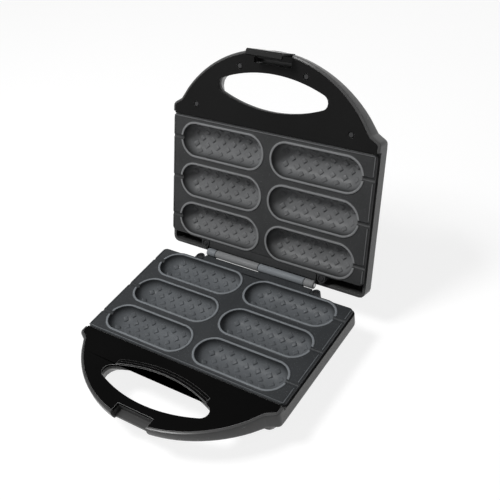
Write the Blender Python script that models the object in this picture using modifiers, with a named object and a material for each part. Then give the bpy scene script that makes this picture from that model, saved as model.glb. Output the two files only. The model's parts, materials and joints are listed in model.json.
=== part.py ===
# Crepe and hot dog maker: two hinged halves, each a plastic housing with a cast cooking plate.
# Metres, +Z up, the handles point along -Y, and the model stands with its lid open.
# Each half is drawn face up in its own frame: the hinge line is X at the origin,
# "reach" runs from the plate's rear edge to the front, and depth goes down from the parting plane.
import math
import bmesh
import bpy
from mathutils import Matrix, Vector

# Fits
seat_gap = 0.0003        # air between pieces that touch
closed_gap = 0.0006      # air between the two plate faces when shut
overrun = 0.004          # how far a cut runs past the surface it opens
weld = 0.000001          # points nearer than this are one

# Cooking plate
cavity_rows = 3
cavity_length = 0.0925
cavity_width = 0.031
row_gap = 0.0098         # land between two rows of cavities
column_gap = 0.011       # land between the two columns of cavities
rear_margin = 0.0027     # rear row to the plate's rear edge
front_margin = 0.0067    # front row to the plate's front edge
side_margin = 0.012      # cavity's end to the plate's side edge
row_pitch = cavity_width + row_gap
row_shift = (front_margin - rear_margin) / 2    # rows sit this far behind the plate's middle
plate_depth = rear_margin + cavity_rows * cavity_width + (cavity_rows - 1) * row_gap + front_margin
plate_width = 2 * side_margin + 2 * cavity_length + column_gap
plate_corner = 0.0045
flange_thickness = 0.003
hinge_offset = 0.012     # plate's rear edge to the hinge line
rear_tab_depth = 0.005   # the flange reaches back this far between the ears
rim_height = 0.0008
rim_width = 0.0022
cavity_depth = 0.013
cavity_wall = 0.0024
slot_radius = 0.0024     # round the parting plane, so the two halves make a round hole
stud_radius = 0.0037
stud_top_radius = 0.0028
stud_height = 0.0011
stud_pitch = 0.0123
stud_counts = (6, 7, 6, 7, 6)
tongue_place = 0.060
tongue_width = 0.016
tongue_reach = 0.005
tongue_thickness = 0.0022
heater_rib_width = 0.006
heater_rib_length = 0.150

# Hinge
barrel_radius = 0.0040
pin_radius = 0.0018
knuckle_gap = 0.0006
long_knuckle = 0.0509
short_knuckle = 0.0100
ear_place = 0.0675
ear_back = 0.0045        # ear centre behind the plate's rear edge
ear_radius = 0.0044
ear_counterbore = 0.0013
open_angle = math.radians(111)

# Housings
plate_side_gap = 0.0015  # plate's side edge to the housing's side
arc_overhang = 0.006     # the handle's ellipse is wider than the housing by this much a side
housing_half_width = plate_width / 2 + plate_side_gap
arc_half_width = housing_half_width + arc_overhang
arc_rise = 0.114
handle_length = 0.073    # plate's front edge to the tip of the handle
neck_ahead = 0.0155      # these run forward from the plate's front edge
ear_corner_ahead = 0.0098
rim_step_ahead = 0.002
belly_ahead = 0.0085
panel_ahead = 0.0006
hole_ahead = 0.0355
well_front_gap = 0.0005  # the well ends this far behind the plate's front edge
front_reach = plate_depth + handle_length
neck_reach = plate_depth + neck_ahead
ear_corner_reach = plate_depth + ear_corner_ahead
neck_fillet = 0.003
shoulder_fillet = 0.0055
rear_fillet = 0.006
deck_level = 0.0015      # handle deck below the parting plane
rim_level = 0.0055       # side rims below the parting plane
rim_step_reach = plate_depth + rim_step_ahead
wall = 0.0024
draft = 0.0005
top_round = 0.0016
edge_round = 0.0044
side_depth = 0.022
tip_depth = 0.0125       # underside of the handle at its tip
belly_depth = 0.036
belly_start = 0.0175
belly_slope = 0.0124     # sides lean in by this much
belly_lean = 0.0010      # front and rear lean in by this much
belly_round = 0.0015
belly_front_reach = plate_depth + belly_ahead
base_rear_reach = -0.002
lid_rear_reach = -0.0135
well_front_reach = plate_depth - well_front_gap
well_step_depth = 0.0200  # below this the well runs forward under the handle
well_wide_depth = 0.0246

# Handle deck panels
panel_thickness = 0.0026
panel_lip = 0.0022       # housing edge left round the panel
panel_rear_reach = plate_depth + panel_ahead
hole_reach = plate_depth + hole_ahead
hole_half_height = 0.017
hole_arc_radius = 0.145
hole_end_radius = 0.007
hole_straight = 0.0075   # below this the hole opens out, mostly to the rear
hole_flare_depth = 0.019
hole_flare = 0.0050
hole_shift = 0.0046
lip_heights = (0.0008, 0.0016)
lip_widths = (0.0062, 0.0032)
lip_share = 0.74         # share of the hole's arcs that the raised lip follows

# Screws
rear_screw_place = 0.0832
rear_screw_ahead = 0.0128
front_screw_place = 0.0350
front_screw_ahead = 0.0552
screw_places = ((rear_screw_place, plate_depth + rear_screw_ahead),
                (front_screw_place, plate_depth + front_screw_ahead))
screw_shank = 0.0015
screw_head = 0.0026
screw_head_height = 0.0013
screw_length = 0.0085
screw_hole = 0.0018
counterbore_radius = 0.0030
post_radius = 0.0046

# Latch
latch_half_width = 0.0195
latch_pocket_depth = 0.0125  # these run back from the tip of the handle
ledge_inset = 0.005
latch_pin_inset = 0.0065
latch_back_reach = front_reach - latch_pocket_depth
latch_clearance = 0.0008
ledge_reach = front_reach - ledge_inset
ledge_level = 0.009
ledge_thickness = 0.0024
latch_pin_reach = front_reach - latch_pin_inset
latch_pin_level = 0.0066
latch_pin_radius = 0.0014
latch_pin_bite = 0.0028
latch_knuckle_radius = 0.0029
latch_plate_thickness = 0.0030
latch_hook_reach = 0.0029
latch_hook_thickness = 0.0026
latch_angle = math.radians(8)   # how far the clip hangs out when it isn't hooked
latch_wall = 0.0036

# Heating and wiring
heater_radius = 0.0032
heater_terminal_length = 0.010
reflector_thickness = 0.0008
reflector_side_gap = 0.0106
heater_side_margin = 0.012
reflector_half_width = housing_half_width - draft - wall - reflector_side_gap
heater_leg_half = reflector_half_width - heater_side_margin
reflector_margin = 0.010
reflector_turn_up = 0.004
thermostat_radius = 0.0085
thermostat_cap_radius = 0.0070
thermostat_cap_height = 0.0030
thermostat_height = 0.0090
thermostat_place = -0.050
fuse_radius = 0.0020
fuse_length = 0.011
fuse_place = 0.050
terminal_size = (0.026, 0.012, 0.0075)
terminal_place = -0.052
terminal_reach = 0.020
terminal_round = 0.0008
gland_radius = 0.0048
gland_flange = 0.0078
gland_bore = 0.0034
gland_lip = 0.0015
gland_place = -0.040
gland_level = 0.0235

# Lamps and feet
lamp_radius = 0.0038
lamp_flange = 0.0052
lamp_flange_height = 0.0012
lamp_dome = 0.0012
lamp_places = (-0.012, 0.012)
lamp_reach = 0.100
lamp_body_radius = 0.0026
lamp_body_height = 0.0045
foot_radius = 0.0072
foot_height = 0.0055
foot_stem_radius = 0.0024
foot_stem_lip = 0.0034
foot_place = 0.078
foot_rear_reach = 0.009
foot_front_inset = 0.008
foot_front_reach = plate_depth - foot_front_inset

# Placing
hinge_place = 0.0603     # sets the middle of the whole, lid open, over the origin

# Looks: colour, metallic, roughness
shell_look = ((0.012, 0.012, 0.013), 0.0, 0.28)
deck_look = ((0.008, 0.008, 0.009), 0.0, 0.42)
plate_look = ((0.045, 0.048, 0.054), 0.2, 0.45)
steel_look = ((0.55, 0.55, 0.56), 1.0, 0.3)
tube_look = ((0.30, 0.29, 0.28), 1.0, 0.4)
bright_look = ((0.80, 0.81, 0.82), 1.0, 0.3)
pale_look = ((0.85, 0.84, 0.80), 0.0, 0.5)
rubber_look = ((0.02, 0.02, 0.02), 0.0, 0.7)
red_look = ((0.55, 0.03, 0.02), 0.0, 0.15)
green_look = ((0.03, 0.40, 0.08), 0.0, 0.15)
clip_look = ((0.010, 0.010, 0.011), 0.0, 0.22)
sharp_angle = math.radians(32)

# Roundness, in counts
arc_steps = 16
fillet_steps = 3
round_steps = 20
small_steps = 10
slot_steps = 11
cavity_steps = 14
bend_steps = 12

half_gap = closed_gap / 2
face_level = half_gap + rim_height
flange_under = face_level + flange_thickness
stand_height = belly_depth + foot_height
panel_under = deck_level + panel_thickness
panel_seat = panel_under + seat_gap
cavity_centre = column_gap / 2 + cavity_length / 2
trough_under = half_gap + cavity_depth + cavity_wall
heater_level = trough_under + 2 * seat_gap + heater_radius
reflector_level = heater_level + heater_radius + seat_gap
latch_half = latch_half_width - latch_clearance


def clear_scene():
    for thing in list(bpy.data.objects):
        bpy.data.objects.remove(thing, do_unlink=True)
    for group in list(bpy.data.collections):
        bpy.data.collections.remove(group)


def new_collection(name):
    group = bpy.data.collections.new(name)
    bpy.context.scene.collection.children.link(group)
    return group


def material(name, colour, metallic, roughness):
    made = bpy.data.materials.new(name)
    made.use_nodes = True
    shader = made.node_tree.nodes["Principled BSDF"]
    shader.inputs["Base Color"].default_value = (*colour, 1.0)
    shader.inputs["Metallic"].default_value = metallic
    shader.inputs["Roughness"].default_value = roughness
    made.diffuse_color = (*colour, 1.0)
    return made


def back(reach):
    """Y of a place that is this far in front of the plate's rear edge."""
    return -(hinge_offset + reach)


def mesh_object(name, bm):
    bmesh.ops.recalc_face_normals(bm, faces=bm.faces)
    mesh = bpy.data.meshes.new(name)
    bm.to_mesh(mesh)
    bm.free()
    made = bpy.data.objects.new(name, mesh)
    parts.objects.link(made)
    return made


def bake(thing, face_out=False):
    """Turn modifiers, curves and placement into a plain welded mesh."""
    bpy.context.view_layer.update()
    graph = bpy.context.evaluated_depsgraph_get()
    mesh = bpy.data.meshes.new_from_object(thing.evaluated_get(graph))
    mesh.transform(thing.matrix_world)
    bm = bmesh.new()
    bm.from_mesh(mesh)
    bmesh.ops.remove_doubles(bm, verts=bm.verts, dist=weld)
    if face_out:
        bmesh.ops.recalc_face_normals(bm, faces=bm.faces)
    bm.to_mesh(mesh)
    bm.free()
    name = thing.name
    bpy.data.objects.remove(thing, do_unlink=True)
    made = bpy.data.objects.new(name, mesh)
    parts.objects.link(made)
    return made


def combine(target, tool, operation):
    """Cut, join or intersect with another solid, which is used up."""
    step = target.modifiers.new("step", "BOOLEAN")
    step.operation = operation
    step.solver = "EXACT"
    step.object = tool
    parts.objects.unlink(tool)
    cutters.objects.link(tool)
    tool.hide_render = True
    tool.display_type = "WIRE"
    made = bake(target)
    bpy.data.objects.remove(tool, do_unlink=True)
    return made


def cut(target, *tools):
    for tool in tools:
        target = combine(target, tool, "DIFFERENCE")
    return target


def join(target, *tools):
    for tool in tools:
        target = combine(target, tool, "UNION")
    return target


def gather(name, things):
    """Put solids that don't touch into one mesh, for use as one cutter."""
    bm = bmesh.new()
    for thing in things:
        bm.from_mesh(thing.data)
        bpy.data.objects.remove(thing, do_unlink=True)
    mesh = bpy.data.meshes.new(name)
    bm.to_mesh(mesh)
    bm.free()
    made = bpy.data.objects.new(name, mesh)
    parts.objects.link(made)
    return made


def box(name, low, high, round_edges=0.0, steps=2):
    bm = bmesh.new()
    size = [b - a for a, b in zip(low, high)]
    middle = [(a + b) / 2 for a, b in zip(low, high)]
    place = Matrix.Translation(middle) @ Matrix.Diagonal((*size, 1))
    bmesh.ops.create_cube(bm, size=1, matrix=place)
    if round_edges:
        bmesh.ops.bevel(bm, geom=bm.edges, offset=round_edges, segments=steps, affect="EDGES", profile=0.5)
    return mesh_object(name, bm)


def cylinder(name, radius, start, end, steps=round_steps, end_radius=None):
    """A round bar between two points."""
    start, end = Vector(start), Vector(end)
    along = end - start
    turn = along.to_track_quat("Z", "Y").to_matrix().to_4x4()
    place = Matrix.Translation((start + end) / 2) @ turn
    bm = bmesh.new()
    second = radius if end_radius is None else end_radius
    bmesh.ops.create_cone(bm, cap_ends=True, segments=steps, radius1=radius, radius2=second,
                          depth=along.length, matrix=place)
    return mesh_object(name, bm)


def flat_solid(name, loops, under, top):
    """An outline, with any holes in it, given a thickness by a filled 2D curve."""
    curve = bpy.data.curves.new(name, "CURVE")
    curve.dimensions = "2D"
    curve.fill_mode = "BOTH"
    curve.extrude = (under - top) / 2
    for loop in loops:
        spline = curve.splines.new("POLY")
        spline.points.add(len(loop) - 1)
        for point, place in zip(spline.points, loop):
            point.co = (place[0], place[1], 0, 1)
        spline.use_cyclic_u = True
    thing = bpy.data.objects.new(name, curve)
    thing.location.z = -(under + top) / 2
    parts.objects.link(thing)
    return bake(thing, face_out=True)


def turned(name, profile, place, turn=None, steps=round_steps):
    """A profile of (radius, height), listed from its top down the outside, turned about Z."""
    mesh = bpy.data.meshes.new(name)
    points = [(radius, 0, height) for radius, height in profile]
    mesh.from_pydata(points, [(i, i + 1) for i in range(len(points) - 1)], [])
    thing = bpy.data.objects.new(name, mesh)
    parts.objects.link(thing)
    screw = thing.modifiers.new("turn", "SCREW")
    screw.steps = steps
    screw.render_steps = steps
    screw.use_merge_vertices = True
    screw.merge_threshold = weld
    made = bake(thing, face_out=True)
    spot = Matrix.Translation(place)
    if turn:
        spot = spot @ turn
    made.data.transform(spot)
    return made


def tube(name, points, radius, resolution=2, cyclic=False):
    """A round bar or wire along a smooth run of points."""
    curve = bpy.data.curves.new(name, "CURVE")
    curve.dimensions = "3D"
    curve.bevel_depth = radius
    curve.bevel_resolution = resolution
    curve.use_fill_caps = True
    spline = curve.splines.new("POLY")
    spline.points.add(len(points) - 1)
    for point, place in zip(spline.points, points):
        point.co = (*place, 1)
    spline.use_cyclic_u = cyclic
    thing = bpy.data.objects.new(name, curve)
    parts.objects.link(thing)
    return bake(thing, face_out=True)


def loft(name, rings):
    """Skin over rings of points that start at the front, right of the middle, and run round."""
    bm = bmesh.new()
    count = len(rings[0])
    rows = [[bm.verts.new(point) for point in ring] for ring in rings]
    for upper, lower in zip(rows, rows[1:]):
        for i in range(count):
            j = (i + 1) % count
            bm.faces.new((upper[i], upper[j], lower[j], lower[i]))
    for row in (rows[0], rows[-1]):
        for i in range(count // 2 - 1):
            bm.faces.new((row[i], row[i + 1], row[-i - 2], row[-i - 1]))
    return mesh_object(name, bm)


def fillet(before, corner, after, radius, steps=fillet_steps):
    """Points of a round corner between two straight runs."""
    a = (Vector(before) - Vector(corner)).normalized()
    b = (Vector(after) - Vector(corner)).normalized()
    half = a.angle(b) / 2
    run = radius / math.tan(half)
    centre = Vector(corner) + (a + b).normalized() * radius / math.sin(half)
    start = Vector(corner) + a * run - centre
    end = Vector(corner) + b * run - centre
    turn = start.angle_signed(end)
    first = math.atan2(start.y, start.x)
    angles = [first - turn * i / steps for i in range(steps + 1)]
    return [(centre.x + radius * math.cos(angle), centre.y + radius * math.sin(angle)) for angle in angles]


def inset_path(points, inset):
    """Move the right half of an outline inwards."""
    moved = []
    for i, point in enumerate(points):
        before = points[i - 1] if i else (-point[0], point[1])
        after = points[i + 1] if i + 1 < len(points) else (-point[0], point[1])
        a = (Vector(point) - Vector(before)).normalized()
        b = (Vector(after) - Vector(point)).normalized()
        along = (a + b).normalized()
        normal = Vector((-along.y, along.x))
        spread = max(along.dot(a), math.cos(math.pi / 3))
        moved.append(tuple(Vector(point) + normal * inset / spread))
    return moved


def mirrored(half):
    return half + [(-x, y) for x, y in reversed(half)]


def arc_reach(x):
    """Reach of the handle's round front at this distance from the middle."""
    return front_reach - arc_rise + arc_rise * math.sqrt(1 - (x / arc_half_width) ** 2)


def housing_half(rear_reach):
    """Right half of a housing's outline, from the handle's tip round to the rear."""
    neck_drop = front_reach - arc_rise
    neck_x = arc_half_width * math.sqrt(1 - ((neck_reach - neck_drop) / arc_rise) ** 2)
    span = neck_x - 2 * neck_fillet
    stop = math.asin(span / arc_half_width)
    points = []
    for i in range(arc_steps):
        angle = stop * (2 * i + 1) / (2 * arc_steps)
        points.append((arc_half_width * math.sin(angle), back(neck_drop + arc_rise * math.cos(angle))))
    neck = (neck_x, back(neck_reach))
    shoulder = (housing_half_width, back(ear_corner_reach))
    corner = (housing_half_width, back(rear_reach))
    middle = (0, back(rear_reach))
    points += fillet(points[-1], neck, shoulder, neck_fillet)
    points += fillet(neck, shoulder, corner, shoulder_fillet)
    points += [(housing_half_width, back(rim_step_reach)), (housing_half_width, back(plate_depth / 2))]
    return points + fillet(shoulder, corner, middle, rear_fillet)


def underside(reach):
    """Depth of the housing's outer face: level under the plate, rising along the handle."""
    share = min(max((reach - plate_depth) / (front_reach - plate_depth), 0), 1)
    return side_depth - (side_depth - tip_depth) * share


def housing_ring(half, inset, level):
    """One ring of the housing's skin. level is a depth, or a share of the way down to the underside."""
    ring = []
    for x, y in mirrored(inset_path(half, inset)):
        ring.append((x, y, -level(underside(-y - hinge_offset))))
    return ring


def rounded_half(half_width, near, far, radius):
    """Right half of a rounded rectangle between two reaches."""
    top, side = (0, back(far)), (half_width, back(far))
    low, end = (half_width, back(near)), (0, back(near))
    return fillet(top, side, low, radius) + fillet(side, low, end, radius)


def level_ring(half, depth):
    return [(x, y, -depth) for x, y in mirrored(half)]


def housing_skin(name, rear_reach):
    """The closed outer form of one housing: sides, handle and belly."""
    half = housing_half(rear_reach)
    rings = [
        housing_ring(half, top_round, lambda under: deck_level),
        housing_ring(half, top_round * (1 - math.sin(math.pi / 4)),
                     lambda under: deck_level + top_round * (1 - math.cos(math.pi / 4))),
        housing_ring(half, 0, lambda under: deck_level + top_round),
        housing_ring(half, draft, lambda under: under - edge_round),
        housing_ring(half, draft + edge_round * (1 - math.sin(math.pi / 4)),
                     lambda under: under - edge_round * (1 - math.cos(math.pi / 4))),
        housing_ring(half, edge_round, lambda under: under),
    ]
    wide = housing_half_width - draft - seat_gap
    near = rear_reach + draft + seat_gap
    belly = []
    for depth, slope, lean in ((belly_start, 0, 0), (belly_depth - belly_round, belly_slope, belly_lean),
                               (belly_depth, belly_slope + belly_round, belly_lean + belly_round)):
        half = rounded_half(wide - slope, near + lean, belly_front_reach - lean, rear_fillet)
        belly.append(level_ring(half, depth))
    return join(loft(name, rings), loft("belly", belly))


def well_cutter(rear_reach):
    """The space under the cooking plate, which widens forward at its foot."""
    near = rear_reach + draft + wall
    front = belly_front_reach - belly_lean - wall
    rings = []
    for depth, far in ((-overrun, well_front_reach), (belly_start - wall, well_front_reach),
                       (well_step_depth, well_front_reach), (well_wide_depth, front),
                       (belly_depth - wall, front)):
        share = max(depth + wall - belly_start, 0) / (belly_depth - belly_start)
        wide = housing_half_width - draft - wall - belly_slope * share
        half = rounded_half(wide, near + belly_lean * share, far, rear_fillet - wall)
        rings.append(level_ring(half, depth))
    return loft("well", rings)


def lens(outset=0.0, shift=0.0):
    """Right half of a handle's finger hole: two arcs that meet in a round end."""
    radius = hole_arc_radius + outset
    drop = hole_arc_radius - hole_half_height
    end = hole_end_radius + outset
    centre_x = math.sqrt((radius - end) ** 2 - drop ** 2)
    tilt = math.atan2(centre_x, drop)
    middle = back(hole_reach) + shift
    arc = []
    for i in range(arc_steps // 2):
        angle = tilt * (2 * i + 1) / (arc_steps + 1)
        arc.append((radius * math.sin(angle), radius * math.cos(angle) - drop))
    points = [(x, middle - rise) for x, rise in arc]
    for i in range(fillet_steps * 2 + 1):
        angle = tilt + (math.pi - 2 * tilt) * i / (fillet_steps * 2)
        points.append((centre_x + end * math.sin(angle), middle - end * math.cos(angle)))
    return points + [(x, middle + rise) for x, rise in reversed(arc)]


def finger_hole(outset):
    """A cutter through a handle, straight at first and then opening out."""
    rings = []
    for depth, flare, shift in ((-overrun, 0, 0), (hole_straight, 0, 0), (hole_flare_depth, hole_flare, hole_shift),
                                (belly_depth, hole_flare, hole_shift)):
        rings.append(level_ring(lens(outset + flare, shift), depth))
    return loft("finger_hole", rings)


def circle(x, y, radius, steps=small_steps):
    turn = math.tau / steps
    return [(x + radius * math.cos(turn * i), y + radius * math.sin(turn * i)) for i in range(steps)]


def deck_outline(rear_reach, inset, latch_inset, step_reach):
    """Outline over the handle, from the plate's front edge, with the latch's notch in the tip."""
    half = inset_path(housing_half(rear_reach), inset)
    kept = [(x, y) for x, y in half if y < back(step_reach) - seat_gap and x > latch_half_width + latch_inset]
    edge_x = housing_half_width - inset
    tip_x = latch_half_width + latch_inset
    tip = (tip_x, back(arc_reach(tip_x)) + inset)
    notch = (tip_x, back(latch_back_reach - latch_inset))
    right = [notch, tip] + kept + [(edge_x, back(step_reach))]
    return right + [(-x, y) for x, y in reversed(right)]


def screw_spots():
    return [(side * x, back(reach)) for x, reach in screw_places for side in (-1, 1)]


def handle_hollow(rear_reach, depth_over):
    """The space inside a handle, round its finger hole, screw posts and latch."""
    loops = [deck_outline(rear_reach, wall, latch_wall, plate_depth + wall)]
    loops += [circle(x, y, post_radius) for x, y in screw_spots()]
    hollow = flat_solid("hollow", loops, side_depth, panel_seat - overrun)
    for vertex in hollow.data.vertices:
        if vertex.co.z < -panel_seat:
            vertex.co.z = -(underside(-vertex.co.y - hinge_offset) - depth_over)
    return cut(hollow, finger_hole(wall + seat_gap))


def housing(name, rear_reach, post_depth):
    """A housing without its screw holes: skin, well, hollow handle, panel seat and finger hole."""
    shell = housing_skin(name, rear_reach)
    wide = housing_half_width + overrun
    sides = box("sides", (-wide, back(rim_step_reach), -rim_level), (wide, back(rear_reach) + overrun, overrun))
    panel_space = flat_solid("panel_space", [deck_outline(rear_reach, panel_lip, 0, well_front_reach)],
                             panel_seat, -overrun)
    shell = cut(shell, sides, well_cutter(rear_reach), panel_space, handle_hollow(rear_reach, wall),
                finger_hole(seat_gap))
    tongues = []
    for side in (-1, 1):
        middle = side * tongue_place
        half = tongue_width / 2 + seat_gap
        tongues.append(box("tongue_space", (middle - half, back(plate_depth + tongue_reach) - seat_gap,
                                            -(panel_seat + tongue_thickness + 2 * seat_gap)),
                           (middle + half, back(well_front_reach) + overrun, overrun)))
    shell = cut(shell, gather("tongue_spaces", tongues))
    posts = []
    for side in (-1, 1):
        x = side * ear_place
        y = back(-ear_back)
        post = cylinder("post", ear_radius, (x, y, -post_depth), (x, y, -flange_under - seat_gap))
        posts.append(post)
    return join(shell, *posts)


def hollow_holes(spots, top, bottom, radius):
    return gather("holes", [cylinder("hole", radius, (x, y, -bottom), (x, y, -top), small_steps) for x, y in spots])


def ear_spots():
    return [(side * ear_place, back(-ear_back)) for side in (-1, 1)]


def base_shell():
    shell = housing("base_shell", base_rear_reach, side_depth - edge_round)
    wide = latch_half_width
    tip = back(front_reach) - overrun
    shell = cut(shell, box("latch_top", (-wide, tip, -ledge_level), (wide, back(latch_back_reach), overrun)))
    shell = cut(shell, box("latch_front", (-wide, tip, -belly_depth), (wide, back(ledge_reach), overrun)))
    low = (-wide, tip, -belly_depth)
    shell = cut(shell, box("hook_space", low, (wide, back(latch_back_reach), -ledge_level - ledge_thickness)))
    shell = cut(shell, hollow_holes(ear_spots(), 0, flange_under + screw_length, screw_hole))
    post_top = panel_seat + screw_length / 2
    head_seat = post_top + wall
    shell = cut(shell, hollow_holes(screw_spots(), 0, post_top, post_radius + seat_gap))
    shell = cut(shell, hollow_holes(screw_spots(), post_top - overrun, belly_depth, screw_hole))
    shell = cut(shell, hollow_holes(screw_spots(), head_seat, belly_depth, counterbore_radius))
    gland_y = back(base_rear_reach)
    shell = cut(shell, cylinder("gland_hole", gland_radius + seat_gap, (gland_place, gland_y + overrun, -gland_level),
                                (gland_place, gland_y - 2 * overrun, -gland_level)))
    return cut(shell, hollow_holes(foot_spots(), belly_depth - wall - overrun, belly_depth + overrun,
                                   foot_stem_radius + seat_gap))


def lid_shell():
    shell = housing("lid_shell", lid_rear_reach, belly_depth - wall / 2)
    wide = latch_half_width
    tip = back(front_reach) - overrun
    floor = latch_pin_level + latch_knuckle_radius + latch_clearance
    shell = cut(shell, box("latch_pocket", (-wide, tip, -floor), (wide, back(latch_back_reach), overrun)))
    reach = wide + latch_pin_bite + seat_gap
    y = back(latch_pin_reach)
    shell = cut(shell, cylinder("latch_bore", latch_pin_radius + seat_gap, (-reach, y, -latch_pin_level),
                                (reach, y, -latch_pin_level), small_steps))
    shell = cut(shell, hollow_holes(ear_spots(), 0, flange_under + screw_length, screw_hole))
    shell = cut(shell, hollow_holes(screw_spots(), 0, panel_under + screw_length, screw_hole))
    spots = [(x, back(lamp_reach)) for x in lamp_places]
    return cut(shell, hollow_holes(spots, belly_depth - wall - overrun, belly_depth + overrun,
                                   lamp_radius + seat_gap))


def raised_lip():
    """Two steps that stand round the rear edge of the base's finger hole."""
    drop = hole_arc_radius - hole_half_height
    half_length = lip_share * math.sqrt(hole_arc_radius ** 2 - drop ** 2)
    centre = back(hole_reach) - drop
    steps = []
    for width, height in zip(lip_widths, lip_heights):
        rows = []
        for radius in (hole_arc_radius + width, hole_arc_radius + seat_gap):
            end = math.asin(half_length / radius)
            angles = [end * i / (arc_steps // 2) for i in range(-arc_steps // 2, arc_steps // 2 + 1)]
            rows.append([(radius * math.sin(angle), centre + radius * math.cos(angle)) for angle in angles])
        loop = rows[0] + rows[1][::-1]
        steps.append(flat_solid("lip", [loop], deck_level + panel_thickness / 2, deck_level - height))
    return steps


def deck_panel(name, rear_reach):
    loops = [deck_outline(rear_reach, panel_lip + seat_gap, seat_gap, panel_rear_reach), mirrored(lens())]
    return flat_solid(name, loops, panel_under, deck_level)


def base_deck():
    panel = deck_panel("base_deck", base_rear_reach)
    panel = join(panel, *raised_lip())
    bottom = panel_seat + screw_length / 2 - seat_gap
    for x, y in screw_spots():
        panel = join(panel, cylinder("boss", post_radius - seat_gap, (x, y, -bottom),
                                     (x, y, -panel_under + panel_thickness / 2), small_steps))
    return cut(panel, hollow_holes(screw_spots(), deck_level + panel_thickness / 2, bottom + overrun, screw_hole))


def lid_deck():
    panel = deck_panel("lid_deck", lid_rear_reach)
    panel = cut(panel, hollow_holes(screw_spots(), -overrun, panel_under + overrun, screw_hole))
    return cut(panel, hollow_holes(screw_spots(), -overrun, deck_level + screw_head_height + seat_gap,
                                   counterbore_radius))


def cavity_spots():
    middle = plate_depth / 2 - row_shift
    for row in range(cavity_rows):
        reach = middle + (row - (cavity_rows - 1) / 2) * row_pitch
        for side in (-1, 1):
            yield side * cavity_centre, back(reach), side


def stadium(x, y, half_length, half_width, steps=cavity_steps):
    """A loop with straight sides and round ends, centred on a cavity."""
    run = half_length - half_width
    points = []
    for side in (1, -1):
        for i in range(steps // 2 + 1):
            angle = math.pi * i / (steps // 2) - math.pi / 2
            points.append((x + side * (run + half_width * math.cos(angle)), y + side * half_width * math.sin(angle)))
    return points


def trough(name, outset):
    """A long bowl with round ends, hanging from the plate's face at the origin."""
    bm = bmesh.new()
    half = cavity_width / 2 + outset
    depth = cavity_depth + outset
    half_step = Matrix.Rotation(math.pi / cavity_steps, 4, "Z")
    bmesh.ops.create_uvsphere(bm, u_segments=cavity_steps, v_segments=cavity_steps // 2 + 1, radius=1,
                              matrix=Matrix.Rotation(math.pi / 2, 4, "Y") @ half_step)
    run = cavity_length / 2 - cavity_width / 2
    for vertex in bm.verts:
        side = math.copysign(run, vertex.co.x)
        vertex.co = (vertex.co.x * half + side, vertex.co.y * half, vertex.co.z * depth)
    return mesh_object(name, bm)


def stud(x, angle):
    """A raised diamond on the cavity's floor, at this place along it and this angle round it."""
    half = cavity_width / 2
    beyond = math.copysign(max(abs(x) - (cavity_length - cavity_width) / 2, 0), x)
    shrink = math.sqrt(1 - (beyond / half) ** 2)
    side = half * math.sin(angle) * shrink
    depth = cavity_depth * math.cos(angle) * shrink
    up = -Vector((beyond / half ** 2, side / half ** 2, -depth / cavity_depth ** 2)).normalized()
    along = (Vector((1, 0, 0)) - up * up.x).normalized()
    across = up.cross(along)
    turn = Matrix((along, across, up)).transposed().to_4x4()
    place = Matrix.Translation((x, side, -depth)) @ turn
    bm = bmesh.new()
    bmesh.ops.create_cone(bm, cap_ends=True, segments=4, radius1=2 * stud_radius - stud_top_radius,
                          radius2=stud_top_radius, depth=2 * stud_height, matrix=place)
    return mesh_object("stud", bm)


def studs():
    """The staggered rows of diamonds inside one cavity."""
    made = []
    middle = (len(stud_counts) - 1) / 2
    for row, count in enumerate(stud_counts):
        for i in range(count):
            made.append(stud((i - (count - 1) / 2) * stud_pitch, (row - middle) * math.tau / cavity_steps))
    return gather("studs", made)


def knuckle(name, start, end):
    """One barrel of the hinge with the web that ties it to the plate."""
    barrel = cylinder(name, barrel_radius, (start, 0, 0), (end, 0, 0))
    web = box("web", (start, -hinge_offset, -flange_under), (end, 0, -face_level - rim_height))
    return join(barrel, web)


def at_cavities(source):
    """One mesh of copies of a solid, one at every cavity."""
    made = []
    for x, y, _ in cavity_spots():
        twin = bpy.data.objects.new("twin", source.data.copy())
        twin.data.transform(Matrix.Translation((x, y, -half_gap)))
        parts.objects.link(twin)
        made.append(twin)
    bpy.data.objects.remove(source, do_unlink=True)
    return gather("cavities", made)


def casting_bowls():
    """The outsides of the cavities, under the plate."""
    top = -face_level - flange_thickness / 2
    above = box("above", (-plate_width, -plate_width, top), (plate_width, plate_width, plate_width))
    return cut(at_cavities(trough("outer", cavity_wall)), above)


def cavity_rims():
    half_length, half_width = cavity_length / 2 + rim_width, cavity_width / 2 + rim_width
    under = face_level + flange_thickness / 2
    return gather("rims", [flat_solid("rim", [stadium(x, y, half_length, half_width)], under, half_gap)
                           for x, y, _ in cavity_spots()])


def stick_slots():
    made = []
    for x, y, side in cavity_spots():
        start, end = x + side * cavity_length / 3, side * (plate_width / 2 + overrun)
        made.append(cylinder("slot", slot_radius, (start, y, 0), (end, y, 0), slot_steps))
    return gather("slots", made)


def heater_ribs():
    """Two ribs that carry the heat down to the tube."""
    made = []
    half_length, half_width = heater_rib_length / 2, heater_rib_width / 2
    low, high = -heater_level + heater_radius + seat_gap, -face_level - flange_thickness / 2
    for side in (-1, 1):
        y = row_middle() + side * row_pitch / 2
        made.append(box("rib", (-half_length, y - half_width, low), (half_length, y + half_width, high)))
    return gather("ribs", made)


def rear_ears():
    made = []
    for x, y in ear_spots():
        stem = box("ear_stem", (x - ear_radius, back(rim_width), -flange_under), (x + ear_radius, y, -face_level))
        made.append(join(cylinder("ear", ear_radius, (x, y, -flange_under), (x, y, -face_level)), stem))
    return gather("ears", made)


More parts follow.
